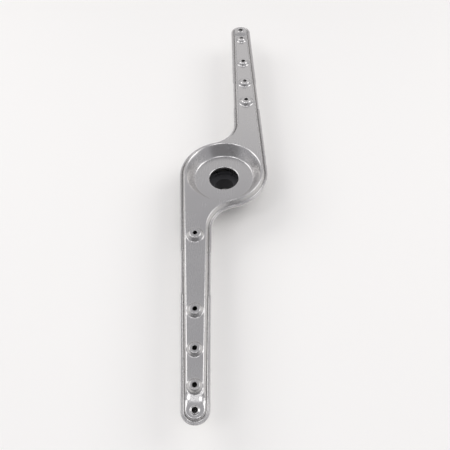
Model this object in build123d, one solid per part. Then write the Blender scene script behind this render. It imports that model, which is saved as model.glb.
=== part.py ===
from build123d import *
import os
from math import asin, atan2, cos, hypot, pi, radians, sin, tan

# Dishwasher spray arm: two pressed stainless sheets hemmed together round an S-shaped plan,
# and a moulded hub bearing snapped into the lower sheet.
# Millimetres. The hub axis is Z, the arms reach along X, and the bearing stands on Z = 0.
# The plan is the same after half a turn about Z, so only the arm towards -X is worked out and then repeated.

# Sheet and seam
SHEET = 0.7               # thickness of both sheets
HEM_WIDTH = 1.8           # how far the folded lip reaches in over the upper flange
HEM_BEVEL = 0.6           # softening of the folded edge, above and below
FLANGE_CLEARANCE = 0.15   # between the edge of the upper flange and the fold round it
CRIMP_INSET = 0.5         # how far the hem is pressed in along a crimped stretch
CRIMP_FROM = 92.0         # crimped stretch of each straight edge, as distances along X from the hub axis
CRIMP_TO = 131.0
CRIMP_RAMP = 1.5          # length of the joggle at each end of a crimped stretch

# Plan outline of the hem
ARM_REACH = 235.0         # hub axis to the end of an arm
HUB_RADIUS = 42.0
TIP_RADIUS = 11.0
ROOT_RADIUS = 25.0        # hollow corner where the inner edge of an arm meets the hub
ROOT_ANGLE = 17.6         # direction of that corner's centre from the arm's axis, in degrees
FLANGE_AT_HUB = 2.3       # hem edge to the foot of the pressed walls
FLANGE_AT_TIP = 3.6

# Crown of the upper sheet
CROWN_HEIGHT = 4.8        # flat top above the flange
CROWN_DRAFT = 15.0        # lean of the wall, in degrees
CROWN_BEVEL = 1.4         # bevel of the shoulder, along the wall and along the flat top
END_DROP = 2.4            # step down of the flat top before the end of an arm
END_STEP = 8.0            # length of that step
END_FLAT = 15.5           # foot of the step to the end of the arm
END_BEND = 12.0           # radius of the bends at the step

# Cup at the hub
CUP_DEPTH = 11.0          # flat top to cup floor
CUP_RIM = 0.6             # flat left between the shoulder and the cup's mouth
CUP_WALL_RUN = 8.8        # mouth edge to the edge of the flat floor
EASE_RUN = 0.25           # share of that run in the shallow stretch at each end of the wall
EASE_RISE = 0.145         # share of the wall's height there
NUT_HOLE_RADIUS = 13.9
NUT_HOLE_LIP = 1.2        # slope where the floor turns down round the hole
NUT_HOLE_NECK = 2.8       # how far the turned-down edge reaches below the cup floor

# Nozzles, placed along each arm as shares of its reach
NOZZLES_MINUS_X = (0.323, 0.630, 0.768, 0.887)
NOZZLES_PLUS_X = (0.413, 0.540, 0.685, 0.866)
DOME_RADIUS = 8.2         # foot of a dome where the flat top is wide enough
DOME_MARGIN = 0.3         # kept free beside a dome where it isn't
DOME_TOP = 0.5            # flat top of a dome as a share of its foot radius
DOME_RISE = 0.44          # height of a dome as a share of its foot radius
JET_RADIUS = 2.0
END_JET_FROM_END = 10.0
END_JET_RADIUS = 2.3
END_BOSS_WIDTH = 1.6      # low boss round an end jet
END_BOSS_HEIGHT = 0.7

# Pan of the lower sheet, depths below the top of the upper flange
PAN_HUB_DEPTH = 18.5      # floor of the bowl at the hub
PAN_ARM_DEPTH = 10.0
PAN_TIP_DEPTH = 7.0
PAN_END_DEPTH = 4.2
PAN_END = 27.0            # length over which the floor rises to the end of an arm
PAN_BEND = 18.0           # radius of the bends in the floor
PAN_DRAFT = 30.0          # lean of the wall, in degrees
PAN_BEVEL = 1.8           # edge between wall and floor
BOWL_RADIUS = 31.5        # mouth of the bowl in the floor of the arms

# Hub bearing
SPINDLE_RADIUS = 9.0      # bore, a running fit on a hollow spindle
SLEEVE_WALL = 2.4
BEARING_GAP = 3.4         # between sleeve and snap ring
SNAP_WALL = 2.2
SEAT_CLEARANCE = 0.2      # snap ring in the hole of the pan
FOOT_LENGTH = 15.5        # foot of the sleeve to the pan
COLLAR_WIDTH = 6.0        # how far the collar under the pan reaches past the snap ring
COLLAR_THICKNESS = 2.5
SNAP_REACH = 1.0          # snap bead over the edge of the pan's hole
SNAP_HEIGHT = 2.6
SNAP_SLOTS = 6            # slots that part the snap ring into springy tongues
SNAP_SLOT_WIDTH = 3.0
GUSSETS = 6               # ribs between sleeve and collar
GUSSET_THICKNESS = 1.6
GUSSET_RISE = 2.4         # foot of the sleeve to the foot of a gusset
GUSSET_MARGIN = 2.0       # end of a gusset to the collar's edge
BORE_LEAD_IN = 0.6        # chamfer at the foot of the bore

OVERRUN = 1.0             # how far a cutting shape runs past what it cuts
SEAM_HEIGHT = PAN_HUB_DEPTH + FOOT_LENGTH
SNAP_RADIUS = SPINDLE_RADIUS + SLEEVE_WALL + BEARING_GAP + SNAP_WALL
SHOULDER_RUN = CROWN_HEIGHT * tan(radians(CROWN_DRAFT)) + CROWN_BEVEL


def at_angle(centre, radius, angle):
    """Point on a circle, angle in radians."""
    return (centre[0] + radius * cos(angle), centre[1] + radius * sin(angle))


class Belt:
    """Tangent points of the plan outline of the arm towards -X, set in from the hem's edge.

    The outline runs like a belt: the outer edge touches the hub and tip circles from outside, the inner
    edge crosses over from the tip circle to the root circle, and the root circle touches the hub circle.
    """

    def __init__(self, hub_inset, tip_inset):
        self.hub_radius = HUB_RADIUS - hub_inset
        self.tip_radius = TIP_RADIUS - tip_inset
        self.root_radius = ROOT_RADIUS + hub_inset
        self.root_angle = pi + radians(ROOT_ANGLE)
        self.tip = (TIP_RADIUS - ARM_REACH, 0.0)
        self.root = at_angle((0, 0), HUB_RADIUS + ROOT_RADIUS, self.root_angle)
        self.outer_lean = asin((self.hub_radius - self.tip_radius) / -self.tip[0])
        dx, dy = self.root[0] - self.tip[0], self.root[1] - self.tip[1]
        self.inner_lean = atan2(dy, dx) + asin((self.tip_radius + self.root_radius) / hypot(dx, dy))
        outward = self.outer_lean + pi / 2
        inward = self.inner_lean - pi / 2
        self.hub_start = at_angle((0, 0), self.hub_radius, outward)
        self.tip_start = at_angle(self.tip, self.tip_radius, outward)
        self.tip_end = at_angle(self.tip, self.tip_radius, inward)
        self.root_start = at_angle(self.root, self.root_radius, inward + pi)
        self.hub_end = at_angle((0, 0), self.hub_radius, self.root_angle)
        self.hub_close = at_angle((0, 0), self.hub_radius, outward + pi)

    def outer_y(self, x):
        """Y of the outer edge at x."""
        return self.hub_start[1] + (x - self.hub_start[0]) * tan(self.outer_lean)

    def inner_y(self, x):
        """Y of the inner edge at x."""
        return self.tip_end[1] + (x - self.tip_end[0]) * tan(self.inner_lean)


def edge_points(start, end, crimp):
    """Corners of a straight edge, its crimped stretch set in to the left on the way from start to end."""
    if crimp == 0:
        return [start, end]
    stations = [
        (CRIMP_FROM - CRIMP_RAMP, 0), (CRIMP_FROM, crimp), (CRIMP_TO, crimp), (CRIMP_TO + CRIMP_RAMP, 0),
    ]
    side = -1
    if end[0] > start[0]:
        stations.reverse()
        side = 1
    slope = (end[1] - start[1]) / (end[0] - start[0])
    middle = [(-x, start[1] - (x + start[0]) * slope + side * inset) for x, inset in stations]
    return [start, *middle, end]


def plan_face(hub_inset, tip_inset, crimp=0.0):
    """Face of the S-shaped plan, set in from the hem's edge by its own amount at the hub and at the tips."""
    belt = Belt(hub_inset, tip_inset)
    tip_middle = pi + (belt.outer_lean + belt.inner_lean) / 2
    root_middle = (belt.inner_lean + pi / 2 + radians(ROOT_ANGLE)) / 2
    hub_middle = (belt.root_angle + belt.outer_lean + 1.5 * pi) / 2
    half = [
        *Polyline(*edge_points(belt.hub_start, belt.tip_start, crimp)).edges(),
        ThreePointArc(belt.tip_start, at_angle(belt.tip, belt.tip_radius, tip_middle), belt.tip_end),
        *Polyline(*edge_points(belt.tip_end, belt.root_start, crimp)).edges(),
        ThreePointArc(belt.root_start, at_angle(belt.root, belt.root_radius, root_middle), belt.hub_end),
        ThreePointArc(belt.hub_end, at_angle((0, 0), belt.hub_radius, hub_middle), belt.hub_close),
    ]
    face = Face(Wire([*half, *(Rot(0, 0, 180) * edge for edge in half)]))
    return face if face.normal_at().Z > 0 else -face


def plate(inset, low, high):
    """Plate of the plan's shape with its crimps, set in evenly, between two heights."""
    return Pos(0, 0, low) * extrude(plan_face(inset, inset, CRIMP_INSET), amount=high - low)


def side_band(profile, bend, lowest):
    """Solid under a side profile and its mirror image, with rounded bends, wider than the plan."""
    line = [(-x, z) for x, z in reversed(profile)] + profile
    start, end = line[0], line[-1]
    skirt = Polyline(end, (end[0], lowest), (start[0], lowest), start)
    face = make_face([FilletPolyline(*line, radius=bend), skirt])
    return extrude(Plane.XZ * face, amount=2 * HUB_RADIUS, both=True)


def sunk(depth, draft, bevel):
    """Inset of a drafted wall's foot and size of its bevel, for a surface sunk into the sheet by depth."""
    lean, turn = radians(draft), radians(90 - draft)
    return depth / cos(lean) - depth * tan(lean), bevel - depth * (tan(turn / 2) - tan(turn / 4))


def pressed_form(depth, start, profile, draft, bend, bevel):
    """Pressed shape that rises from the flange at start: drafted walls, a bent top and bevelled top edges.

    depth sinks the whole surface into the sheet, so 0 gives the outside and SHEET the inside.
    """
    inset, sunk_bevel = sunk(depth, draft, bevel)
    base = start - depth
    height = profile[0][1] - base + OVERRUN
    plan = plan_face(FLANGE_AT_HUB + inset, FLANGE_AT_TIP + inset)
    band = side_band([(x, z - depth) for x, z in profile], bend, base - OVERRUN)
    form = (Pos(0, 0, base) * extrude(plan, amount=height, taper=draft)) & band
    tops = [f for f in form.faces() if f.normal_at().Z > 0.9]
    edges = {e for f in tops for e in f.edges()}
    return chamfer([e for e in edges if sum(e in f.edges() for f in tops) == 1], sunk_bevel)


def crown_form(depth):
    """Crown of the upper sheet, its flat top stepped down before the ends of the arms."""
    step_foot = ARM_REACH - END_FLAT
    profile = [
        (step_foot - END_STEP, CROWN_HEIGHT),
        (step_foot, CROWN_HEIGHT - END_DROP),
        (ARM_REACH, CROWN_HEIGHT - END_DROP),
    ]
    return pressed_form(depth, 0, profile, CROWN_DRAFT, END_BEND, CROWN_BEVEL)


def eased_wall(start, end, depth=0.0):
    """Half-section of a wall between two level faces, moved by depth square to itself, to its right-hand side."""
    run, rise = end[0] - start[0], end[1] - start[1]
    shallow = atan2(EASE_RISE * rise, EASE_RUN * run)
    steep = atan2((0.5 - EASE_RISE) * rise, (0.5 - EASE_RUN) * run)

    def corner(run_share, rise_share, before, after):
        reach = depth / cos((after - before) / 2)
        x = start[0] + run_share * run + reach * sin((before + after) / 2)
        return (x, start[1] + rise_share * rise - reach * cos((before + after) / 2))

    return Polyline(
        corner(0, 0, 0, shallow),
        corner(EASE_RUN, EASE_RISE, shallow, steep),
        corner(1 - EASE_RUN, 1 - EASE_RISE, steep, shallow),
        corner(1, 1, shallow, 0),
    )


def revolved(*lines):
    """Solid of the half-section that the lines enclose, turned round Z."""
    return revolve(Plane.XZ * make_face(lines), axis=Axis.Z)


def cup_form(depth):
    """Hollow of the cup, sunk into the sheet by depth."""
    mouth = HUB_RADIUS - FLANGE_AT_HUB - SHOULDER_RUN - CUP_RIM
    wall = eased_wall((mouth - CUP_WALL_RUN, CROWN_HEIGHT - CUP_DEPTH), (mouth, CROWN_HEIGHT), depth)
    above = CROWN_HEIGHT + OVERRUN
    bed, edge = wall @ 0, wall @ 1
    return revolved(wall, Polyline(edge, (edge.X, above), (0, above), (0, bed.Y), bed))


def turned_edge():
    """Edge of the nut hole: the cup floor turned down through a short slope into a straight neck."""
    floor = CROWN_HEIGHT - CUP_DEPTH
    bottom = floor - NUT_HOLE_NECK
    mitre = SHEET * tan(pi / 8)
    start = NUT_HOLE_RADIUS + NUT_HOLE_LIP
    return revolved(Polyline(
        (start, floor),
        (NUT_HOLE_RADIUS, floor - NUT_HOLE_LIP),
        (NUT_HOLE_RADIUS, bottom),
        (NUT_HOLE_RADIUS + SHEET, bottom),
        (NUT_HOLE_RADIUS + SHEET, floor - NUT_HOLE_LIP - mitre),
        (start + mitre, floor - SHEET),
        close=True,
    ))


def nozzle_places():
    """Place and foot radius of each raised nozzle, and the places of the jets at the ends of the arms."""
    seam, crown = Belt(0, 0), Belt(FLANGE_AT_HUB, FLANGE_AT_TIP)
    domes = []
    ends = []
    for side, shares in ((-1, NOZZLES_MINUS_X), (1, NOZZLES_PLUS_X)):
        for x in (share * ARM_REACH for share in shares):
            room = (crown.outer_y(-x) - crown.inner_y(-x)) / 2 - SHOULDER_RUN
            y = (seam.outer_y(-x) + seam.inner_y(-x)) / 2
            domes.append((Pos(side * x, -side * y, CROWN_HEIGHT), min(DOME_RADIUS, room - DOME_MARGIN)))
        end = ARM_REACH - END_JET_FROM_END
        y = (seam.outer_y(-end) + seam.inner_y(-end)) / 2
        ends.append(Pos(side * end, -side * y, CROWN_HEIGHT - END_DROP))
    return domes, ends


def dome_outside(foot):
    """Raised nozzle on the plane Z = 0: a low cone with a flat top."""
    top, rise = DOME_TOP * foot, DOME_RISE * foot
    return revolved(Polyline((foot, -SHEET), (foot, 0), (top, rise), (0, rise), (0, -SHEET), close=True))


def dome_inside(foot):
    """Hollow under a nozzle, the sheet's thickness inside it."""
    rise = DOME_RISE * foot
    slope = (1 - DOME_TOP) / DOME_RISE
    high, low = rise - SHEET, -SHEET - OVERRUN

    def radius(height):
        return foot - height * slope - SHEET * hypot(1, slope)

    return revolved(Polyline((radius(low), low), (radius(high), high), (0, high), (0, low), close=True))


def end_boss():
    """Low boss round a jet at the end of an arm, on the plane Z = 0."""
    foot = END_JET_RADIUS + END_BOSS_WIDTH
    return Cone(foot, END_JET_RADIUS, END_BOSS_HEIGHT, align=(Align.CENTER, Align.CENTER, Align.MIN))


def make_upper_shell():
    """Pressed upper sheet: flange, crown, cup, nozzles and the turned-down nut hole."""
    domes, ends = nozzle_places()
    below_flange = Cylinder(HUB_RADIUS, 2 * CUP_DEPTH, align=(Align.CENTER, Align.CENTER, Align.MAX))
    outside = plate(SHEET + FLANGE_CLEARANCE, -SHEET, 0) + crown_form(0) + (cup_form(SHEET) & below_flange)
    inside = crown_form(SHEET)
    for place, foot in domes:
        outside += place * dome_outside(foot)
        inside += place * dome_inside(foot)
    for place in ends:
        outside += place * end_boss()
    shell = outside - cup_form(0) - (inside - cup_form(SHEET))
    shell -= Cylinder(NUT_HOLE_RADIUS + NUT_HOLE_LIP, 2 * (CUP_DEPTH + NUT_HOLE_NECK))
    shell += turned_edge()
    shell -= [place * Cylinder(JET_RADIUS, 2 * CROWN_HEIGHT) for place, _ in domes]
    return shell - [place * Cylinder(END_JET_RADIUS, 2 * CROWN_HEIGHT) for place in ends]


def bowl_form(depth):
    """Deeper bowl at the hub, a cone that goes on from the floor of the arms, with a bevelled edge."""
    inset, bevel = sunk(depth, PAN_DRAFT, PAN_BEVEL)
    slope = tan(radians(PAN_DRAFT))
    mouth = BOWL_RADIUS - inset + OVERRUN * slope
    height = PAN_HUB_DEPTH - PAN_ARM_DEPTH + OVERRUN
    bowl = Cone(mouth, mouth - height * slope, height, align=(Align.CENTER, Align.CENTER, Align.MAX))
    return Pos(0, 0, PAN_HUB_DEPTH - depth) * chamfer(bowl.edges().group_by(Axis.Z)[-1], bevel)


def pan_form(depth):
    """Pan of the lower sheet with its bowl, pressed upwards and then turned over."""
    profile = [
        (HUB_RADIUS, PAN_ARM_DEPTH),
        (ARM_REACH - PAN_END, PAN_TIP_DEPTH),
        (ARM_REACH, PAN_END_DEPTH),
    ]
    arms = pressed_form(depth, SHEET, profile, PAN_DRAFT, PAN_BEND, PAN_BEVEL)
    return mirror(arms + bowl_form(depth), about=Plane.XY)


def make_lower_shell():
    """Pressed lower sheet: the pan, and its edge folded up and over the upper flange."""
    hem = plate(0, -2 * SHEET, SHEET)
    levels = hem.edges().group_by(Axis.Z)
    hem = chamfer(levels[0] + levels[-1], HEM_BEVEL)
    hem -= [plate(SHEET, -SHEET, 0), plate(HEM_WIDTH, 0, SHEET + OVERRUN)]
    shell = hem + pan_form(0) - pan_form(SHEET)
    return shell - Cylinder(SNAP_RADIUS + SEAT_CLEARANCE, 2 * (PAN_HUB_DEPTH + OVERRUN))


def ring(outer, inner, low, high):
    """Round tube between two heights."""
    return Pos(0, 0, low) * extrude(Circle(outer) - Circle(inner), amount=high - low)


def make_hub_bearing():
    """Moulded bush: sleeve for the spindle, collar under the pan on gussets, and snap tongues above it."""
    foot, seat = -SEAM_HEIGHT, -PAN_HUB_DEPTH
    collar, top = seat - COLLAR_THICKNESS, seat + SHEET + SNAP_HEIGHT
    sleeve_radius = SPINDLE_RADIUS + SLEEVE_WALL
    collar_radius = SNAP_RADIUS + COLLAR_WIDTH
    snap_inner = SNAP_RADIUS - SNAP_WALL
    body = ring(sleeve_radius, SPINDLE_RADIUS, foot, seat) + ring(collar_radius, SPINDLE_RADIUS, collar, seat)
    body += revolved(Polyline(
        (snap_inner, seat),
        (SNAP_RADIUS, seat),
        (SNAP_RADIUS, seat + SHEET),
        (SNAP_RADIUS + SNAP_REACH, seat + SHEET),
        (SNAP_RADIUS, top),
        (snap_inner, top),
        close=True,
    ))
    slot = Pos(snap_inner - BEARING_GAP / 2, 0, seat) * Box(
        BEARING_GAP + SNAP_WALL + SNAP_REACH, SNAP_SLOT_WIDTH, top - seat + OVERRUN,
        align=(Align.MIN, Align.CENTER, Align.MIN),
    )
    body -= [Rot(0, 0, (step + 0.5) * 360 / SNAP_SLOTS) * slot for step in range(SNAP_SLOTS)]
    root = sleeve_radius - SLEEVE_WALL / 2
    side = make_face(Polyline(
        (root, foot + GUSSET_RISE),
        (sleeve_radius, foot + GUSSET_RISE),
        (collar_radius - GUSSET_MARGIN, collar),
        (root, collar),
        close=True,
    ))
    gusset = extrude(Plane.XZ * side, amount=GUSSET_THICKNESS / 2, both=True)
    body += [Rot(0, 0, step * 360 / GUSSETS) * gusset for step in range(GUSSETS)]
    mouth = body.edges().group_by(Axis.Z)[0].sort_by(SortBy.RADIUS)[0]
    return chamfer(mouth, BORE_LEAD_IN)


os.makedirs("parts", exist_ok=True)
for node, solid in (
    ("upper_shell", make_upper_shell()),
    ("lower_shell", make_lower_shell()),
    ("hub_bearing", make_hub_bearing()),
):
    export_step(Pos(0, 0, SEAM_HEIGHT) * solid, f"parts/{node}.step")
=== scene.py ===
"""Looks of a dishwasher's lower spray arm: two hemmed sheets of stainless steel on a black plastic bearing.

Sizes of the part are in millimetres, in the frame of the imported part, and become metres when a mesh is made.
The studio's lights, its flag and the camera's clipping are in metres.
"""

import logging
import math
from dataclasses import dataclass, field
from enum import Enum
from typing import Any, Mapping, Sequence

import bmesh
import bpy
import numpy as np
from mathutils import Matrix, Vector
from mathutils.geometry import delaunay_2d_cdt
from numpy.typing import NDArray


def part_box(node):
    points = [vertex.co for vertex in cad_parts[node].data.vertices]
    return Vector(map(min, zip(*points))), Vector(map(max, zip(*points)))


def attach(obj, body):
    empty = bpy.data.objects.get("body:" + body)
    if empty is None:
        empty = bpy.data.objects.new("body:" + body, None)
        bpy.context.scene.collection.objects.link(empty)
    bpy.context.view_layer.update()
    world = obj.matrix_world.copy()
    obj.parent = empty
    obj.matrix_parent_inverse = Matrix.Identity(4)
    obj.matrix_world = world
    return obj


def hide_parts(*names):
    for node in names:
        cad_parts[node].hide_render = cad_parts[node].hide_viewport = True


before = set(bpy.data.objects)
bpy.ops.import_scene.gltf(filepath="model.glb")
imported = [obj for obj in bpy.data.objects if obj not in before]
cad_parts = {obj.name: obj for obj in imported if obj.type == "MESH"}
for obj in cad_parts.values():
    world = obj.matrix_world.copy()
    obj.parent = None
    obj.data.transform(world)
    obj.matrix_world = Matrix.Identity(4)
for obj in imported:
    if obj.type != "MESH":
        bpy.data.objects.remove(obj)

Array = NDArray[np.float64]
Pair = tuple[float, float]
Triple = tuple[float, float, float]
LOG = logging.getLogger("spray_arm")
BODY = "root"
METRE = 0.001
# Width of the level strip where a bent patch meets a land.
LAND = 0.03
# Stands in for zero where a number is divided by.
TINY = 1e-12
# Points nearer than this, in metres, become one.
WELD = 1e-6
# The triangulation in plan keeps what lies inside its edges, and takes points this close as one.
INSIDE_EDGES = 1
PLAN_TOLERANCE = 1e-9


class Slot(Enum):
    """Slots of the record; no piece made here takes one."""

    STEEL = "stainless"


class Tint(Enum):
    """Colours of the lights."""

    NEUTRAL = (1.0, 0.99, 0.98)
    WARM = (1.0, 0.97, 0.93)
    COOL = (1.0, 0.99, 1.0)


def unit(angle: float | Array) -> Array:
    """Unit vectors in plan at the given angles."""
    return np.stack([np.cos(angle), np.sin(angle)], axis=-1)


def eased(share: Array) -> Array:
    """Smooth step: 0 below 0, 1 above 1, three squares less two cubes between."""
    share = np.clip(share, 0.0, 1.0)
    return share * share * (3.0 - 2.0 * share)


def bent_line(distance: Array, corners: Sequence[Pair], bend: float) -> Array:
    """Height along a polyline that is level before its first corner and after its last, with rounded corners.

    Each corner adds its change of slope times a ramp: zero before the corner, straight after it, and a
    parabola across the bend, which is as long as an arc of the bend radius.

    Args:
        distance: Places along the line.
        corners: Place and height of each corner.
        bend: Radius of the rounded corners.

    Returns:
        The height at each place.
    """
    places, heights = np.array(corners).T
    slopes = np.concatenate([[0.0], np.diff(heights) / np.diff(places), [0.0]])
    height = np.full_like(distance, heights[0])
    for place, before, after in zip(places, slopes[:-1], slopes[1:]):
        reach = bend * math.tan(abs(math.atan(after) - math.atan(before)) / 2)
        gap = distance - place
        ramp = np.where(np.abs(gap) < reach, (gap + reach) ** 2 / (4 * reach), np.maximum(gap, 0))
        height += (after - before) * ramp
    return height


def s_curve(start: Pair, end: Pair, ease: float, steps: int) -> Array:
    """Profile that leaves one level and meets another without a break.

    A cubic Bezier whose handles are level and as long as the ease times the run.

    Args:
        start: Radius and height where the curve begins.
        end: Radius and height where it ends.
        ease: Length of each handle as a share of the run.
        steps: Number of points.

    Returns:
        Radius and height of each point.
    """
    t = np.linspace(0.0, 1.0, steps)
    run = 3 * (1 - t) ** 2 * t * ease + 3 * (1 - t) * t**2 * (1 - ease) + t**3
    rise = 3 * t**2 - 2 * t**3
    return np.stack([start[0] + (end[0] - start[0]) * run, start[1] + (end[1] - start[1]) * rise], axis=-1)


def arc(centre: Pair, radius: float, start: float, stop: float, steps: int) -> Array:
    """Points of an arc in a profile, from one angle in degrees to another."""
    return np.array(centre) + radius * unit(np.radians(np.linspace(start, stop, steps)))


def underside(profile: Array, sheet: float) -> Array:
    """The other face of a sheet: each point of a profile moved square to it by the thickness.

    Args:
        profile: Radius and height of each point, running inwards.
        sheet: Thickness of the sheet.

    Returns:
        Radius and height of each point of the other face.
    """
    along = np.gradient(profile, axis=0)
    along /= np.linalg.norm(along, axis=1, keepdims=True)
    return profile - sheet * np.stack([along[:, 1], -along[:, 0]], axis=-1)


def raised(plan: Array, height: Array) -> Array:
    """Places in plan with their heights, one for each place or one for each column of places."""
    return np.concatenate([plan, np.broadcast_to(height, plan.shape[:-1])[..., None]], axis=-1)


def turned(profile: Array, centre: Array, steps: int) -> Array:
    """A profile carried round a vertical axis: a function of the angle and of the place along the profile.

    Args:
        profile: Radius and height of each point.
        centre: Place of the axis in plan.
        steps: Points round the axis.

    Returns:
        Points of the surface, angle by profile.
    """
    angle = np.linspace(0.0, 2 * np.pi, steps, endpoint=False)
    plan = centre + unit(angle)[:, None] * profile[None, :, :1]
    return raised(plan, profile[:, 1])


def apart(points: Array, loop: Array) -> tuple[Array, Array]:
    """Whether each point lies inside a loop, by counting the edges that a ray crosses, and how far from it.

    Args:
        points: Places in plan.
        loop: Corners of the closed loop in plan.

    Returns:
        A flag for each point, and its distance from the nearest edge.
    """
    a, b = loop[None], np.roll(loop, -1, axis=0)[None]
    p = points[:, None]
    edge = b - a
    share = np.clip(((p - a) * edge).sum(-1) / np.maximum((edge**2).sum(-1), TINY), 0, 1)
    distance = np.linalg.norm(p - a - share[..., None] * edge, axis=-1).min(1)
    spans = (a[..., 1] > p[..., 1]) != (b[..., 1] > p[..., 1])
    rise = np.where(np.abs(edge[..., 1]) < TINY, TINY, edge[..., 1])
    crossing = a[..., 0] + (p[..., 1] - a[..., 1]) / rise * edge[..., 0]
    return (spans & (p[..., 0] < crossing)).sum(1) % 2 == 1, distance


def clear_of(points: Array, rim: Array, holes: Sequence[Array], rim_gap: float, hole_gap: float) -> Array:
    """Picks the points that lie inside a rim and outside holes, clear of both.

    Args:
        points: Places in plan.
        rim: Outer loop.
        holes: Loops of the holes.
        rim_gap: Least distance from the rim.
        hole_gap: Least distance from a hole.

    Returns:
        The points that are left.
    """
    inside, gap = apart(points, rim[:, :2])
    keep = inside & (gap > rim_gap)
    for hole in holes:
        within, gap = apart(points, hole[:, :2])
        keep &= ~within & (gap > hole_gap)
    return points[keep]


@dataclass
class Skin:
    """Gathers patches of one piece and welds them into a mesh."""

    points: list[Array] = field(default_factory=list)
    faces: list[NDArray[np.int64]] = field(default_factory=list)
    count: int = 0

    def grid(self, patch: Array, outward: bool = True) -> None:
        """Adds a patch that closes along its first parameter and is open along its second.

        Args:
            patch: Points, first parameter by second.
            outward: Whether the faces are turned as the parameters run.
        """
        n, m = patch.shape[:2]
        index = np.arange(n * m).reshape(n, m) + self.count
        ahead = np.roll(index, -1, axis=0)
        quads = np.stack([index[:, :-1], ahead[:, :-1], ahead[:, 1:], index[:, 1:]], axis=-1).reshape(-1, 4)
        self.points.append(patch.reshape(-1, 3))
        self.faces.append(quads if outward else quads[:, ::-1])
        self.count += n * m

    def land(self, rim: Array, holes: Sequence[Array], inner: Array, sheet: float) -> None:
        """Adds both faces of a nearly level land between an outer loop and holes, as triangles in plan.

        The loops are already points of neighbouring patches, so the land only spans what they leave. The
        lower face is the upper one let down by the thickness of the sheet.

        Args:
            rim: Outer loop of the upper face.
            holes: Loops of the holes in it.
            inner: Points that follow the bends of the land.
            sheet: Thickness of the sheet.
        """
        loops = [rim, *holes]
        starts = np.cumsum([0] + [len(loop) for loop in loops])
        ring = [np.arange(a, b) for a, b in zip(starts[:-1], starts[1:])]
        edges = np.concatenate([np.stack([r, np.roll(r, -1)], axis=-1) for r in ring])
        points = np.concatenate([*loops, inner])
        made = delaunay_2d_cdt(points[:, :2].tolist(), edges.tolist(), [], INSIDE_EDGES, PLAN_TOLERANCE)
        corners, origins = made[2:4]
        source = np.array([origin[0] for origin in origins])
        triangles = source[np.array(corners)]
        centres = points[triangles, :2].mean(1)
        solid = np.all([~apart(centres, hole[:, :2])[0] for hole in holes], axis=0)
        triangles = triangles[solid & apart(centres, rim[:, :2])[0]]
        a, b, c = (points[triangles[:, k], :2] for k in range(3))
        turn = (b - a)[:, 0] * (c - a)[:, 1] - (b - a)[:, 1] * (c - a)[:, 0]
        triangles = np.where(turn[:, None] > 0, triangles, triangles[:, ::-1])
        self.points += [points, points - [0, 0, sheet]]
        self.faces += [triangles + self.count, triangles[:, ::-1] + self.count + len(points)]
        self.count += 2 * len(points)

    def piece(
        self, name: str, finish: bpy.types.Material, crease: float = 35.0
    ) -> bpy.types.Object:
        """Welds the patches, and makes the piece that rides on the part.

        Args:
            name: Name of the piece.
            finish: Its material.
            crease: Angle in degrees from which an edge looks sharp.

        Returns:
            The object.
        """
        mesh = bpy.data.meshes.new(name)
        faces = [face for block in self.faces for face in block.tolist()]
        mesh.from_pydata((np.concatenate(self.points) * METRE).tolist(), [], faces)
        work = bmesh.new()
        work.from_mesh(mesh)
        bmesh.ops.remove_doubles(work, verts=work.verts, dist=WELD)
        work.to_mesh(mesh)
        work.free()
        mesh.shade_smooth()
        mesh.set_sharp_from_angle(angle=math.radians(crease))
        mesh.materials.append(finish)
        made = bpy.data.objects.new(name, mesh)
        bpy.context.scene.collection.objects.link(made)
        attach(made, BODY)
        return made


class Wire:
    """A shader socket that takes part in Python arithmetic: each operation adds a Math node."""

    def __init__(self, shading: "Shading", socket: bpy.types.NodeSocket) -> None:
        """Keeps the tree and the socket."""
        self.shading, self.socket = shading, socket

    def _math(self, operation: str, first: "Wire | float", second: "Wire | float") -> "Wire":
        """One Math node."""
        return self.shading.node("ShaderNodeMath", {"operation": operation}, {0: first, 1: second})

    def __add__(self, other: "Wire | float") -> "Wire":
        """Sum."""
        return self._math("ADD", self, other)

    def __radd__(self, other: float) -> "Wire":
        """Sum, number first."""
        return self._math("ADD", other, self)

    def __sub__(self, other: "Wire | float") -> "Wire":
        """Difference."""
        return self._math("SUBTRACT", self, other)

    def __rsub__(self, other: float) -> "Wire":
        """Difference, number first."""
        return self._math("SUBTRACT", other, self)

    def __mul__(self, other: "Wire | float") -> "Wire":
        """Product."""
        return self._math("MULTIPLY", self, other)

    def __rmul__(self, other: float) -> "Wire":
        """Product, number first."""
        return self._math("MULTIPLY", other, self)


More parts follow.
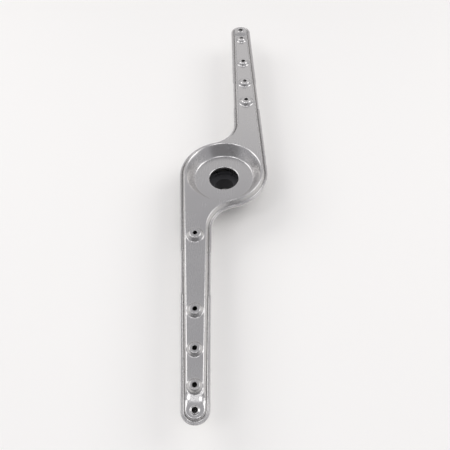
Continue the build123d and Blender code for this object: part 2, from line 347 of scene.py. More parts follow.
class Shading:
    """A material's node tree round one principled shader."""

    # Sockets of a Mix node for colours, by number, and the middle of a noise value.
    mix_share, mix_low, mix_high, mix_result = 0, 6, 7, 2
    noise_middle = 0.5

    def __init__(self, name: str) -> None:
        """Makes the material with its shader and output.

        Args:
            name: Name of the material.
        """
        self.material = bpy.data.materials.new(name)
        self.material.use_nodes = True
        self.tree = self.material.node_tree
        self.tree.nodes.clear()
        shader = self.node("ShaderNodeBsdfPrincipled", output="BSDF")
        self.shader = shader.socket.node
        self.node("ShaderNodeOutputMaterial", inputs={"Surface": shader}, output=None)
        self.place = self.node("ShaderNodeTexCoord", output="Object")

    def node(
        self,
        kind: str,
        settings: Mapping[str, Any] | None = None,
        inputs: Mapping[int | str, Any] | None = None,
        output: int | str | None = 0,
    ) -> Wire | None:
        """Adds one node.

        Args:
            kind: The node's type.
            settings: Its own settings, set first.
            inputs: A value or a wire for each socket.
            output: The socket that the wire comes from.

        Returns:
            The wire of that output, if it has one.
        """
        made = self.tree.nodes.new(kind)
        for key, value in (settings or {}).items():
            setattr(made, key, value)
        for key, value in (inputs or {}).items():
            self.feed(made.inputs[key], value)
        return None if output is None else Wire(self, made.outputs[output])

    def feed(self, socket: bpy.types.NodeSocket, value: Any) -> None:
        """Links a wire to a socket, or sets its number or colour.

        Args:
            socket: The socket.
            value: The wire, number or colour.
        """
        if isinstance(value, Wire):
            self.tree.links.new(value.socket, socket)
        else:
            socket.default_value = value

    def dress(self, **inputs: Any) -> bpy.types.Material:
        """Feeds the shader's sockets.

        Args:
            inputs: A value or a wire for each socket, named with underscores for spaces.

        Returns:
            The material.
        """
        for key, value in inputs.items():
            self.feed(self.shader.inputs[key.replace("_", " ")], value)
        return self.material

    def stretched(self, scale: Triple) -> Wire:
        """Object coordinates multiplied along each axis."""
        return self.node("ShaderNodeMapping", inputs={"Vector": self.place, "Scale": scale})

    def noise(self, place: Wire, scale: float, detail: float, roughness: float = 0.5) -> Wire:
        """A noise value about one half."""
        inputs = {"Vector": place, "Scale": scale, "Detail": detail, "Roughness": roughness}
        return self.node("ShaderNodeTexNoise", inputs=inputs)

    def swing(self, noise: Wire, width: float) -> Wire:
        """A noise value moved to swing about zero, times a width."""
        return (noise - self.noise_middle) * width

    def bump(self, height: Wire, depth: float, strength: float) -> Wire:
        """A normal bent by a height, with the depth in millimetres."""
        inputs = {"Height": height, "Distance": depth * METRE, "Strength": strength}
        return self.node("ShaderNodeBump", inputs=inputs, output="Normal")

    def between(self, share: Wire, low: Triple, high: Triple) -> Wire:
        """A colour between two, by a share."""
        inputs = {self.mix_share: share, self.mix_low: (*low, 1.0), self.mix_high: (*high, 1.0)}
        return self.node("ShaderNodeMix", {"data_type": "RGBA"}, inputs, output=self.mix_result)


@dataclass(frozen=True)
class SatinSteel:
    """Cold-rolled stainless sheet: fine streaks along the rolling, soft clouds and a mill texture.

    A noise is given by its scale, detail and roughness, and the relief by its depth and strength.
    """

    dark: Triple = (0.560, 0.552, 0.548)
    light: Triple = (0.640, 0.632, 0.626)
    tone: float = 0.5
    cloud_tone: float = 0.5
    streak_tone: float = 0.15
    roughness: float = 0.27
    cloud_swing: float = 0.05
    streak_swing: float = 0.03
    streaks_along: float = 24.0
    streaks_across: float = 2400.0
    streak_noise: Pair = (1.0, 3.0)
    cloud_noise: Triple = (26.0, 4.0, 0.55)
    mill_noise: Pair = (2600.0, 2.0)
    streak_share: float = 0.7
    mill_share: float = 0.3
    relief: Pair = (0.002, 0.03)

    def material(self, name: str) -> bpy.types.Material:
        """Makes the material, with the streaks running along X.

        Args:
            name: Its name.

        Returns:
            The material.
        """
        steel = Shading(name)
        rolled = steel.stretched((self.streaks_along, self.streaks_across, self.streaks_across))
        streak = steel.noise(rolled, *self.streak_noise)
        cloud = steel.noise(steel.place, *self.cloud_noise)
        mill = steel.noise(steel.place, *self.mill_noise)
        share = self.tone + steel.swing(cloud, self.cloud_tone) + steel.swing(streak, self.streak_tone)
        rough = self.roughness + steel.swing(cloud, self.cloud_swing) + steel.swing(streak, self.streak_swing)
        return steel.dress(
            Base_Color=steel.between(share, self.dark, self.light),
            Metallic=1.0,
            Roughness=rough,
            Normal=steel.bump(streak * self.streak_share + mill * self.mill_share, *self.relief),
        )


@dataclass(frozen=True)
class MouldedPlastic:
    """Black glass-filled plastic with a fine spark-eroded texture and a slight bloom.

    Noises and relief are given as for the steel.
    """

    dark: Triple = (0.036, 0.036, 0.039)
    light: Triple = (0.075, 0.075, 0.080)
    roughness: float = 0.46
    bloom_swing: float = 0.20
    grain_swing: float = 0.10
    specular: float = 0.45
    bloom_noise: Triple = (90.0, 4.0, 0.6)
    grain_noise: Pair = (3200.0, 2.0)
    relief: Pair = (0.03, 0.35)

    def material(self, name: str) -> bpy.types.Material:
        """Makes the material.

        Args:
            name: Its name.

        Returns:
            The material.
        """
        plastic = Shading(name)
        bloom = plastic.noise(plastic.place, *self.bloom_noise)
        grain = plastic.noise(plastic.place, *self.grain_noise)
        rough = self.roughness + plastic.swing(bloom, self.bloom_swing)
        return plastic.dress(
            Base_Color=plastic.between(bloom, self.dark, self.light),
            Roughness=rough + plastic.swing(grain, self.grain_swing),
            Specular_IOR_Level=self.specular,
            Normal=plastic.bump(grain, *self.relief),
        )


@dataclass(frozen=True)
class PaleFloor:
    """Plain matt floor."""

    tint: Triple = (0.95, 0.94, 0.915)
    roughness: float = 0.9
    specular: float = 0.1

    def material(self, name: str) -> bpy.types.Material:
        """The material."""
        gloss = {"Roughness": self.roughness, "Specular_IOR_Level": self.specular}
        return Shading(name).dress(Base_Color=(*self.tint, 1.0), **gloss)


@dataclass(frozen=True)
class DarkFlag:
    """Plain dark panel."""

    tint: Triple = (0.26, 0.26, 0.27)
    roughness: float = 1.0

    def material(self, name: str) -> bpy.types.Material:
        """The material."""
        return Shading(name).dress(Base_Color=(*self.tint, 1.0), Roughness=self.roughness)


@dataclass(frozen=True)
class Track:
    """A closed line in plan with the inward normal at each point."""

    points: Array
    inward: Array

    def inset(self, distance: Array) -> Array:
        """Points moved inwards, each by its own row of distances."""
        rows = np.broadcast_to(distance, (len(self.points), np.shape(distance)[-1]))
        return self.points[:, None] + self.inward[:, None] * rows[..., None]


@dataclass(frozen=True)
class SeamPlan:
    """Plan of the hemmed seam: a belt round the hub, the tips and the root corners, with half-turn symmetry.

    The spans give the number of points along each stretch of the straight edges, by distance from the hub.
    Each straight edge uses those between its limits.
    """

    reach: float = 235.0
    hub_radius: float = 42.0
    tip_radius: float = 11.0
    root_radius: float = 25.0
    root_angle: float = math.radians(17.6)
    flange_at_hub: float = 2.3
    flange_at_tip: float = 2.7
    crimp_from: float = 92.0
    crimp_to: float = 131.0
    crimp_ramp: float = 1.5
    crimp_inset: float = 0.5
    tip_steps: int = 40
    root_steps: int = 30
    hub_steps: int = 56
    hub_edge: Pair = (7.0, 222.0)
    root_edge: Pair = (70.0, 220.0)
    spans: tuple[tuple[float, float, int], ...] = (
        (8, 40, 8), (40, 46, 6), (46, 66, 6), (66, 90, 26), (90, 92.5, 8), (92.5, 130.5, 42), (130.5, 133, 8),
        (133, 204, 78), (204, 220, 26),
    )

    def stations(self, nearest: float, furthest: float) -> Array:
        """Distances from the hub at which a straight edge has points, closer where the sheet bends."""
        places = np.concatenate([np.linspace(a, b, n, endpoint=False) for a, b, n in self.spans])
        return places[(places > nearest) & (places < furthest)]

    def track(self, hub_inset: float = 0.0, tip_inset: float = 0.0) -> Track:
        """The belt, set in by one distance at the hub and root and another at the tips.

        Straight tangent, tip arc, straight tangent, root arc and hub arc make one arm; half a turn gives the
        other.

        Args:
            hub_inset: Distance inside the seam's edge at the hub and root corners.
            tip_inset: Distance inside it at the tips.

        Returns:
            The track, with the same number of points for any insets.
        """
        hub, end = self.hub_radius - hub_inset, self.tip_radius - tip_inset
        corner = self.root_radius + hub_inset
        tip = np.array([self.tip_radius - self.reach, 0.0])
        turn = math.pi + self.root_angle
        root = (self.hub_radius + self.root_radius) * unit(turn)
        across = root - tip
        out = math.asin((hub - end) / -tip[0]) + math.pi / 2
        lean = math.atan2(across[1], across[0]) + math.asin((end + corner) / math.hypot(*across))
        back = lean - math.pi / 2
        leave, meet = tip + end * unit(back), root + corner * unit(back + math.pi)
        points, inward = [], []
        straight = (
            (hub * unit(out), tip + end * unit(out), -unit(out), self.stations(*self.hub_edge)),
            (leave, meet, -unit(back), self.stations(*self.root_edge)[::-1]),
        )
        for start, stop, normal, places in straight:
            share = np.concatenate([[0.0], (-places - start[0]) / (stop[0] - start[0])])
            points.append(start + share[:, None] * (stop - start))
            inward.append(np.tile(normal, (len(share), 1)))
        arcs = (
            (tip, end, out, back + 2 * math.pi, self.tip_steps, -1.0),
            (root, corner, back + math.pi, self.root_angle, self.root_steps, 1.0),
            (np.zeros(2), hub, turn, out + math.pi, self.hub_steps, -1.0),
        )
        for centre, radius, first, last, steps, side in arcs:
            ray = unit(np.linspace(first, last, steps, endpoint=False))
            points.append(centre + radius * ray)
            inward.append(side * ray)
        order = (0, 2, 1, 3, 4)
        arm, normal = (np.concatenate([part[k] for k in order]) for part in (points, inward))
        return Track(np.concatenate([arm, -arm]), np.concatenate([normal, -normal]))

    def crimped(self) -> Track:
        """The seam's own edge, pressed in along part of each straight edge between two smooth steps.

        Returns:
            The track.
        """
        edge = self.track()
        away = np.abs(edge.points[:, :1])
        begins = eased((away - self.crimp_from) / self.crimp_ramp + 1)
        ends = eased((away - self.crimp_to) / self.crimp_ramp)
        return Track(edge.points + edge.inward * self.crimp_inset * (begins - ends), edge.inward)

    def foot(self) -> Track:
        """The line where the pressed walls leave the flange."""
        return self.track(self.flange_at_hub, self.flange_at_tip)

    @staticmethod
    def edges(track: Track, away: float) -> Pair:
        """Finds both edges of the near arm at a distance from the hub.

        Args:
            track: A track round both arms.
            away: The distance.

        Returns:
            Y of the lower edge and of the upper one.
        """
        arm = track.points[: len(track.points) // 2]
        cut = int(np.argmin(arm[:, 0]))
        upper, lower = arm[:cut], arm[cut : cut + len(arm) // 2]
        lower = lower[np.argsort(lower[:, 0])]
        low = np.interp(-away, lower[:, 0], lower[:, 1])
        high = np.interp(-away, upper[::-1, 0], upper[::-1, 1])
        return float(low), float(high)

    def middle(self, x: float) -> Pair:
        """Centre line and half width of the land inside the flanges at a place along the arms.

        Args:
            x: Place along the arms.

        Returns:
            Y of the centre line of the seam, and half the width between the feet of the walls.
        """
        low, high = self.edges(self.track(), abs(x))
        inner_low, inner_high = self.edges(self.foot(), abs(x))
        return math.copysign(1.0, -x) * (low + high) / 2, (inner_high - inner_low) / 2


@dataclass(frozen=True)
class PressedWall:
    """Section of a drafted wall between two lands, with a hollow foot and an elliptical shoulder."""

    draft: float
    foot_radius: float
    shoulder_rise: float
    shoulder_limit: float = 0.92
    foot_steps: int = 7
    shoulder_steps: int = 14

    def section(self, height: Array, reach: Array) -> tuple[Array, Array, Array]:
        """Inset and rise of the wall's outer face at each point of a track, and its normals.

        The foot is a hollow arc that leaves the lower land, the wall leans inwards by the draft, and the
        shoulder is the part of a quarter ellipse from where its slope is the wall's to where it is level. On
        a low wall it takes a limited share of the height that the foot leaves. One more column lies on the
        upper land.

        Args:
            height: Height of the upper land over the lower one at each point.
            reach: Half axis of the shoulder's ellipse along the upper land at each point.

        Returns:
            Insets and rises, and unit normals as inset and rise, each point by column.
        """
        lean = math.radians(self.draft)
        tall, run = height[:, None], reach[:, None]
        room = (tall - self.foot_radius * (1 - math.sin(lean))) * self.shoulder_limit / (1 - math.sin(lean))
        rise = np.minimum(self.shoulder_rise, room)
        start = np.arctan(rise / run * math.tan(lean))
        angle = start + (math.pi / 2 - start) * np.linspace(0.0, 1.0, self.shoulder_steps)
        centre = (tall - rise + rise * np.sin(start)) * math.tan(lean) + run * np.cos(start)
        foot = np.linspace(-math.pi / 2, -lean, self.foot_steps)
        hollow = self.foot_radius * (math.tan(lean) - 1 / math.cos(lean))
        flat = np.ones_like(tall)
        foot_inset = flat * (hollow + self.foot_radius * np.cos(foot))
        foot_rise = flat * self.foot_radius * (1 + np.sin(foot))
        insets = np.concatenate([foot_inset, centre - run * np.cos(angle), centre + LAND], axis=1)
        rises = np.concatenate([foot_rise, tall - rise + rise * np.sin(angle), tall], axis=1)
        across = np.concatenate([-flat * np.cos(foot), -rise * np.cos(angle), 0 * flat], axis=1)
        upward = np.concatenate([-flat * np.sin(foot), run * np.sin(angle), flat], axis=1)
        normals = np.stack([across, upward], axis=-1)
        return insets, rises, normals / np.linalg.norm(normals, axis=-1, keepdims=True)


@dataclass
class UpperSheet:
    """Top pressing: flange, raised crown, nozzles, end jets, and the sunk cup with its turned-down nut hole.

    The shoulder is the half axis of the crown's round edge by distance from the hub. A nozzle is placed by a
    share of the reach, and its flat top and its rise are shares of its foot.
    """

    plan: SeamPlan
    seam: float
    sheet: float = 0.7
    hem_room: float = 0.15
    crown_height: float = 4.8
    end_height: float = 2.4
    end_step: Pair = (211.5, 219.5)
    end_bend: float = 12.0
    wall: PressedWall = PressedWall(26.0, 0.9, 2.0)
    shoulder: tuple[Pair, ...] = (
        (60.0, 1.3), (75.0, 1.6), (212.8, 1.6), (215.5, 5.2), (218.5, 5.2), (221.0, 1.6))
    cup_mouth: float = 36.41
    cup_depth: float = 11.0
    cup_floor: float = 27.6
    cup_ease: float = 0.2
    cup_strip: float = 0.1
    cup_rings: int = 32
    cup_steps: int = 168
    nut_hole: float = 13.9
    nut_lip: float = 1.2
    nut_neck: float = 2.8
    nut_rings: int = 9
    nozzles: tuple[float, ...] = (-0.323, -0.630, -0.768, -0.887, 0.413, 0.540, 0.685, 0.866)
    dome_radius: float = 8.2
    dome_share: float = 0.72
    dome_room: float = 3.6
    dome_top: float = 0.54
    dome_rise: float = 0.44
    dome_rings: int = 25
    jet_radius: float = 2.0
    jet_steps: int = 64
    end_jet_from_end: float = 10.0
    end_jet_radius: float = 2.3
    boss_width: float = 1.6
    boss_height: float = 0.7
    boss_ease: float = 0.37
    boss_rings: int = 12
    edge_round: float = 0.14
    edge_rings: int = 4
    under_stride: int = 3
    step_margin: float = 4.0
    step_half_width: float = 8.0
    step_grid: tuple[int, int] = (26, 17)
    foot_gap: float = 0.4
    foot_past: float = 0.6
    foot_steps: int = 72
    rim_gap: float = 0.3
    hole_gap: float = 0.25

    def crown(self, away: Array) -> Array:
        """Height of the top over the seam by distance from the hub: level, then a step down near the tips."""
        near, far = self.end_step
        return bent_line(away, ((near, self.crown_height), (far, self.end_height)), self.end_bend)

    def nozzle(self, share: float) -> tuple[Array, float]:
        """Finds a nozzle's place on the arms' centre line.

        Args:
            share: Its place as a share of the reach.

        Returns:
            Its centre in plan, and half the width between the feet of the walls there.
        """
        x = share * self.plan.reach
        y, half = self.plan.middle(x)
        return np.array([x, y]), half

    def relief(self, plan: Array) -> Array:
        """Height of the nozzles over the crown: each rises from its foot to its flat top by a smooth step.

        Args:
            plan: Places in plan.

        Returns:
            The height at each place.
        """
        height = np.zeros(plan.shape[:-1])
        for share in self.nozzles:
            centre, half = self.nozzle(share)
            foot = min(self.dome_radius, self.dome_share * half)
            away = np.linalg.norm(plan - centre, axis=-1)
            height += self.dome_rise * foot * eased((foot - away) / (foot - self.dome_top * foot))
        return height

    def top(self, plan: Array) -> Array:
        """Height of the sheet's upper face at places on the crown."""
        return self.seam + self.crown(np.abs(plan[..., 0])) + self.relief(plan)

    def pierced(self, radii: Array, heights: Array) -> Array:
        """A profile that runs inwards to a hole, with a punched, rounded edge, and back under the sheet.

        The lower face has fewer rings than the upper one.

        Args:
            radii: Distances from the hole's axis, the last one the hole's radius.
            heights: Heights at them.

        Returns:
            Radius and height of each point of the closed wall.
        """
        r = self.edge_round
        hole, top = radii[-1], heights[-1]
        upper = np.stack([radii[:-1], heights[:-1]], axis=-1)
        lower = np.stack([radii, heights - self.sheet], axis=-1)[:: -self.under_stride]
        return np.concatenate([upper, arc((hole + r, top - r), r, 90, 180, self.edge_rings), lower])

    def rim(self) -> Array:
        """Flange, wall and shoulder carried along the seam: outer face from the crown out, then back under.

        The wall is as high as the crown is at the wall's own inner edge, which a first section finds.

        Returns:
            Points of the surface, track by section.
        """
        foot = self.plan.foot()
        away = np.abs(foot.points[:, 0])
        reach = np.interp(away, *np.array(self.shoulder).T)
        inset, _, _ = self.wall.section(self.crown(away), reach)
        height = self.crown(np.abs(foot.inset(inset[:, -1:])[:, 0, 0]))
        inset, rise, normal = self.wall.section(height, reach)
        flange = self.plan.crimped().inset(np.array([self.sheet + self.hem_room]))
        faces = []
        for depth in (0.0, self.sheet):
            plan = np.concatenate([flange, foot.inset(inset - depth * normal[..., 0])], axis=1)
            level = np.concatenate([np.zeros((len(rise), 1)), rise - depth * normal[..., 1] + depth], axis=1)
            faces.append(raised(plan, self.seam + level - depth + self.relief(plan)))
        return np.concatenate([faces[0][:, ::-1], faces[1]], axis=1)

    def draped(self, profile: Array, centre: Array) -> Array:
        """A turned profile laid on the crown and the relief of the nozzles.

        Args:
            profile: Radius and height of each point.
            centre: Place of the axis in plan.

        Returns:
            Points of the surface, angle by profile.
        """
        patch = turned(profile, centre, self.jet_steps)
        patch[..., 2] += self.top(patch[..., :2])
        return patch

    def dome(self, share: float) -> Array:
        """One nozzle from where the crown's shoulder begins in to its jet: rings that lie on the relief.

        Args:
            share: Its place as a share of the reach.

        Returns:
            Points of the surface, angle by profile.
        """
        centre, half = self.nozzle(share)
        ring = min(self.dome_radius + LAND, half - self.dome_room)
        radii = np.linspace(ring, self.jet_radius, self.dome_rings)
        return self.draped(self.pierced(radii, np.zeros_like(radii)), centre)

    def end_jet(self, side: int) -> Array:
        """The jet at an arm's end, in a low ring that an S-curve raises.

        Args:
            side: Minus one for the near arm, one for the far arm.

        Returns:
            Points of the surface, angle by profile.
        """
        x = side * (self.plan.reach - self.end_jet_from_end)
        y, _ = self.plan.middle(x)
        foot = self.end_jet_radius + self.boss_width
        ring = s_curve((foot, 0.0), (self.end_jet_radius, self.boss_height), self.boss_ease, self.boss_rings)
        profile = np.concatenate([[[foot + LAND, 0.0]], ring])
        return self.draped(self.pierced(*profile.T), np.array([x, y]))

    def cup(self) -> Array:
        """The sunk cup: S-curve wall, level floor, and the neck of the nut hole turned down through an arc.

        Returns:
            Points of both faces, angle by profile.
        """
        top = self.seam + self.crown_height
        floor = top - self.cup_depth
        lip_from = self.nut_hole + self.nut_lip
        wall = s_curve((self.cup_mouth, top), (self.cup_floor, floor), self.cup_ease, self.cup_rings)
        level = [[self.cup_floor - self.cup_strip, floor], [lip_from + self.cup_strip, floor]]
        lip = arc((lip_from, floor - self.nut_lip), self.nut_lip, 90, 180, self.nut_rings)
        neck = [[self.nut_hole, floor - self.nut_neck]]
        profile = np.concatenate([[[self.cup_mouth + LAND, top]], wall, level, lip, neck])
        both = np.concatenate([profile, underside(profile, self.sheet)[::-1]])
        return turned(both, np.zeros(2), self.cup_steps)

    def bends(self, rim: Array, holes: Sequence[Array]) -> Array:
        """Points on the land where the crown steps down and round the feet of the nozzles, clear of edges.

        Args:
            rim: Outer loop of the land.
            holes: Loops of the holes in it.

        Returns:
            The points, on the upper face.
        """
        near, far = self.end_step
        rows, columns = self.step_grid
        away = np.linspace(near - self.step_margin, far + self.step_margin, rows)
        across = np.linspace(-self.step_half_width, self.step_half_width, columns)
        x, y = np.meshgrid(np.concatenate([-away, away]), across)
        points = [np.stack([x.ravel(), y.ravel()], axis=-1)]
        ray = unit(np.linspace(0, 2 * np.pi, self.foot_steps, endpoint=False))
        for share in self.nozzles:
            centre, half = self.nozzle(share)
            start, stop = half - self.dome_room + self.foot_gap, self.dome_share * half + self.foot_past
            radii = np.arange(start, stop, self.foot_gap)
            points.append((centre + ray[:, None] * radii[None, :, None]).reshape(-1, 2))
        kept = clear_of(np.concatenate(points), rim, holes, self.rim_gap, self.hole_gap)
        return np.column_stack([kept, self.top(kept)])

    def build(self, finish: bpy.types.Material) -> bpy.types.Object:
        """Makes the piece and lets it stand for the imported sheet.

        Args:
            finish: Its material.

        Returns:
            The object.
        """
        skin = Skin()
        rim = self.rim()
        domes = [self.dome(share) for share in self.nozzles]
        turned_in = [self.cup(), *domes, self.end_jet(-1), self.end_jet(1)]
        holes = [patch[:, 0] for patch in turned_in]
        skin.grid(rim, outward=False)
        for patch in turned_in:
            skin.grid(patch)
        skin.land(rim[:, 0], holes, self.bends(rim[:, 0], holes), self.sheet)
        made = skin.piece("upper_sheet", finish)
        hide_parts("upper_shell")
        return made


@dataclass
class LowerSheet:
    """Bottom pressing: the rolled hem that grips the upper flange, and the pan with the bearing's hole.

    The depths are the pan's under the seam by distance from the hub. The floor rows are the stretches where
    its floor bends, with the number of rows in each.
    """

    plan: SeamPlan
    seam: float
    sheet: float = 0.7
    hem_width: float = 1.8
    lip_round: float = 0.14
    lip_slope: float = 0.52
    nose: float = 0.65
    nose_steps: int = 15
    slope_steps: int = 6
    edge_steps: int = 4
    fold_steps: int = 5
    tuck: float = 0.05
    wall: PressedWall = PressedWall(30.0, 0.9, 3.1)
    shoulder: float = 3.1
    depths: tuple[Pair, ...] = ((42.0, 10.0), (208.0, 7.0), (235.0, 4.2))
    bend: float = 18.0
    bowl_radius: float = 31.5
    bowl_depth: float = 18.5
    bowl_steps: int = 160
    hole: float = 17.2
    floor_rows: tuple[tuple[float, float, int], ...] = ((40, 44, 8), (204, 212, 14), (216, 232, 12))
    floor_half_width: float = 40.0
    floor_columns: int = 81
    edge_gap: float = 0.5

    def depth(self, away: Array) -> Array:
        """Depth of the pan under the seam at a distance from the hub: shallower towards the tips."""
        return bent_line(away, self.depths, self.bend)

    def hem(self) -> Array:
        """Section of the hem: a nose round three sheets, the lip's slope and edge, and the fold inside.

        Returns:
            Inset and height over the seam of each point.
        """
        t, r, slope = self.sheet, self.lip_round, self.lip_slope
        roll = 1.5 * t
        return np.concatenate([
            arc((0, 0), 1.0, 270, 90, self.nose_steps) * [self.nose, roll] + (self.nose, -t / 2),
            arc((self.hem_width - slope, t - slope), slope, 90, 0, self.slope_steps),
            arc((self.hem_width - r, r), r, 0, -90, self.edge_steps),
            arc((t + t / 4, -t / 2), t / 2, 90, 270, self.fold_steps),
        ])

    def shell(self) -> Array:
        """Pan wall and hem carried along the seam: outer face from the floor up, round the hem, and back.

        The pan leaves its flange two sheets under the seam. Its wall is as deep as the pan is at the wall's
        own inner edge, which a first section finds.

        Returns:
            Points of the surface, track by section.
        """
        t = self.sheet
        foot = self.plan.foot()
        start = t * math.tan(math.radians(self.wall.draft))
        away = np.abs(foot.points[:, 0])
        reach = np.full_like(away, self.shoulder)
        inset, _, _ = self.wall.section(self.depth(away) - 2 * t, reach)
        below = self.depth(np.abs(foot.inset(start + inset[:, -1:])[:, 0, 0])) - 2 * t
        inset, rise, normal = self.wall.section(below, reach)
        walls = []
        for depth in (0.0, t):
            plan = foot.inset(start + inset - depth * normal[..., 0])
            walls.append(raised(plan, self.seam - 2 * t - (rise - depth * normal[..., 1])))
        section = self.hem()
        hemmed = raised(self.plan.crimped().inset(section[:, 0] + self.tuck), self.seam + section[:, 1])
        return np.concatenate([walls[0][:, ::-1], hemmed, walls[1]], axis=1)

    def bowl(self) -> Array:
        """Bowl at the hub: the wall's section turned round the axis, a level floor, and the bearing's hole.

        Returns:
            Points of both faces, angle by profile.
        """
        t, r = self.sheet, self.lip_round
        ledge = self.depths[0][1]
        inset, rise, _ = self.wall.section(np.array([self.bowl_depth - ledge]), np.array([self.shoulder]))
        outer = np.stack([self.bowl_radius - inset[0], ledge + rise[0]], axis=-1)
        outer = np.concatenate([[[outer[0, 0] + LAND, ledge]], outer])
        inner = underside(outer * [1, -1], -t) * [1, -1]
        floor = outer[-1, 1]
        edge = np.concatenate([
            arc((self.hole + r, floor - r), r, 90, 180, self.edge_steps),
            arc((self.hole + r, floor - t + r), r, 180, 270, self.edge_steps),
        ])
        profile = np.concatenate([outer, edge, inner[::-1]])
        return turned(profile * [1, -1] + [0, self.seam], np.zeros(2), self.bowl_steps)

    def bends(self, rim: Array, hole: Array) -> Array:
        """Rows of points across the floor where it bends, clear of its edge and of the bowl.

        Args:
            rim: Outer loop of the floor.
            hole: Loop where the bowl begins.

        Returns:
            The points, on the floor's upper face.
        """
        away = np.concatenate([np.linspace(*rows) for rows in self.floor_rows])
        across = np.linspace(-self.floor_half_width, self.floor_half_width, self.floor_columns)
        x, y = np.meshgrid(np.concatenate([-away, away]), across)
        points = np.stack([x.ravel(), y.ravel()], axis=-1)
        kept = clear_of(points, rim, [hole], self.edge_gap, self.edge_gap)
        return np.column_stack([kept, self.seam - self.depth(np.abs(kept[:, 0])) + self.sheet])

    def build(self, finish: bpy.types.Material) -> bpy.types.Object:
        """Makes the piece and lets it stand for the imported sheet.

        Args:
            finish: Its material.

        Returns:
            The object.
        """
        skin = Skin()
        shell, bowl = self.shell(), self.bowl()
        skin.grid(shell)
        skin.grid(bowl, outward=False)
        rim, hole = shell[:, -1], bowl[:, -1]
        skin.land(rim, [hole], self.bends(rim, hole), self.sheet)
        made = skin.piece("lower_sheet", finish)
        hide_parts("lower_shell")
        return made


@dataclass
class Bearing:
    """Moulded hub bearing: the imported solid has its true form, so it only gets its finish."""

    node: str = "hub_bearing"

    def dress(self, finish: bpy.types.Material) -> bpy.types.Object:
        """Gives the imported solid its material.

        Args:
            finish: The material.

        Returns:
            The solid's object.
        """
        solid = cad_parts[self.node]
        solid.data.materials.clear()
        solid.data.materials.append(finish)
        return solid


@dataclass(frozen=True)
class SoftBox:
    """A rectangular light: where it hangs, the point it faces, and its width and height, in metres."""

    name: str
    place: Triple
    aim: Triple
    size: Pair
    watts: float
    tint: Tint

    def hang(self) -> bpy.types.Object:
        """Makes the light and turns it to the point it faces.

        Returns:
            The light's object.
        """
        lamp = bpy.data.lights.new(self.name, "AREA")
        lamp.shape, lamp.size, lamp.size_y = "RECTANGLE", *self.size
        lamp.energy, lamp.color = self.watts, self.tint.value
        made = bpy.data.objects.new(self.name, lamp)
        bpy.context.scene.collection.objects.link(made)
        made.location = self.place
        made.rotation_mode = "QUATERNION"
        made.rotation_quaternion = (Vector(self.place) - Vector(self.aim)).to_track_quat("Z", "Y")
        return made


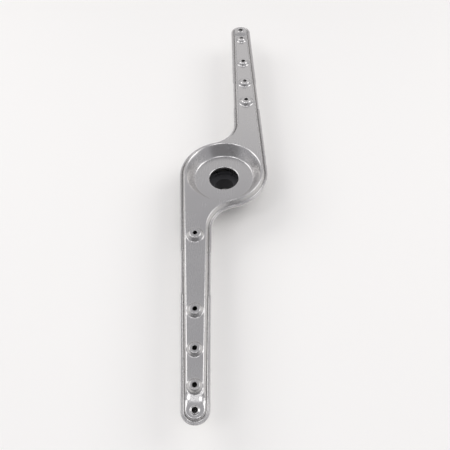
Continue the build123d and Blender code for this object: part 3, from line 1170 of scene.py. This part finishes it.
@dataclass
class Studio:
    """Pale floor, soft boxes, a dark flag, and the camera that looks down along the arm."""

    focal_pixels: float = 535.2
    image_pixels: float = 450.0
    sensor: float = 36.0
    eye: Triple = (-336.8, -45.0, 421.3)
    heading: float = math.atan2(0.1372, 0.9905)
    pitch: float = math.radians(54.22)
    roll: float = math.radians(-3.41)
    clip: Pair = (0.01, 20.0)
    floor_half: float = 3000.0
    world_tint: Triple = (0.96, 0.955, 1.0)
    world_strength: float = 0.50
    boxes: tuple[SoftBox, ...] = (
        SoftBox("box_left", (0.24, 0.90, 0.85), (0, 0, 0), (0.85, 0.8), 4.2, Tint.NEUTRAL),
        SoftBox("box_right", (0.24, -0.90, 0.85), (0, 0, 0), (0.85, 0.8), 4.2, Tint.NEUTRAL),
        SoftBox("box_far", (1.6, 0.0, 1.15), (0, 0, 0), (2.0, 0.9), 2.0, Tint.WARM),
        SoftBox("box_top_left", (-0.6, 0.57, 1.3), (-0.3, 0, 0), (0.36, 0.6), 2.1, Tint.COOL),
        SoftBox("box_top_right", (-0.6, -0.27, 1.3), (-0.3, 0, 0), (0.36, 0.6), 2.1, Tint.COOL),
    )
    flag_x: float = -0.6
    flag_half: float = 0.55
    flag_top: float = 0.9

    def camera(self) -> bpy.types.Object:
        """Makes the camera from its place, heading, pitch and roll.

        Returns:
            The camera's object.
        """
        ahead = np.append(unit(self.heading), 0.0)
        right = np.array([ahead[1], -ahead[0], 0.0])
        up = np.array([0.0, 0.0, 1.0])
        look = math.cos(self.pitch) * ahead - math.sin(self.pitch) * up
        rise = math.cos(self.pitch) * up + math.sin(self.pitch) * ahead
        side = math.cos(self.roll) * right + math.sin(self.roll) * rise
        top = math.cos(self.roll) * rise - math.sin(self.roll) * right
        turn = Matrix(np.stack([side, top, -look], axis=-1).tolist()).to_4x4()
        lens = bpy.data.cameras.new("camera")
        lens.sensor_width = self.sensor
        lens.lens = self.focal_pixels / self.image_pixels * self.sensor
        lens.clip_start, lens.clip_end = self.clip
        made = bpy.data.objects.new("camera", lens)
        bpy.context.scene.collection.objects.link(made)
        made.matrix_world = Matrix.Translation([METRE * place for place in self.eye]) @ turn
        bpy.context.scene.camera = made
        return made

    def panel(self, name: str, corners: Sequence[Triple], finish: bpy.types.Material) -> bpy.types.Object:
        """Makes one flat panel of the stage.

        Args:
            name: Its name.
            corners: Its four corners in metres.
            finish: Its material.

        Returns:
            The object.
        """
        mesh = bpy.data.meshes.new(name)
        mesh.from_pydata(list(corners), [], [(0, 1, 2, 3)])
        mesh.materials.append(finish)
        made = bpy.data.objects.new(name, mesh)
        bpy.context.scene.collection.objects.link(made)
        return made

    def floor(self, finish: bpy.types.Material) -> bpy.types.Object:
        """Lays a level square floor under the part."""
        a = self.floor_half * METRE
        return self.panel("floor", ((-a, -a, 0), (a, -a, 0), (a, a, 0), (-a, a, 0)), finish)

    def flag(self, finish: bpy.types.Material) -> None:
        """Hangs a dark panel behind the camera that only mirrors in the steel: unseen, and with no shadow.

        Args:
            finish: Its material.
        """
        x, half, top = self.flag_x, self.flag_half, self.flag_top
        corners = ((x, -half, 0.0), (x, half, 0.0), (x, half, top), (x, -half, top))
        made = self.panel("flag_near", corners, finish)
        made.visible_camera = made.visible_diffuse = made.visible_shadow = False

    def lights(self) -> None:
        """Makes dim pale surroundings, and hangs the soft boxes and the dark flag."""
        world = bpy.data.worlds.new("surroundings")
        world.use_nodes = True
        background = world.node_tree.nodes["Background"]
        background.inputs["Color"].default_value = (*self.world_tint, 1.0)
        background.inputs["Strength"].default_value = self.world_strength
        bpy.context.scene.world = world
        for box in self.boxes:
            box.hang()
        self.flag(DarkFlag().material("flag"))


def main() -> None:
    """Builds the camera, the pieces and the studio in order."""
    logging.basicConfig(level=logging.INFO, format="%(name)s %(message)s")
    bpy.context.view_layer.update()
    studio = Studio()
    studio.camera()
    plan = SeamPlan()
    steel = SatinSteel().material("satin_steel")
    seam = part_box("lower_shell")[1].z / METRE - UpperSheet.sheet
    for made in (
        UpperSheet(plan, seam).build(steel),
        LowerSheet(plan, seam).build(steel),
        Bearing().dress(MouldedPlastic().material("moulded_plastic")),
        studio.floor(PaleFloor().material("pale_floor")),
    ):
        LOG.info("%s: %d faces", made.name, len(made.data.polygons))
    studio.lights()
    bpy.context.scene.view_settings.view_transform = "Standard"


if __name__ == "__main__":
    main()
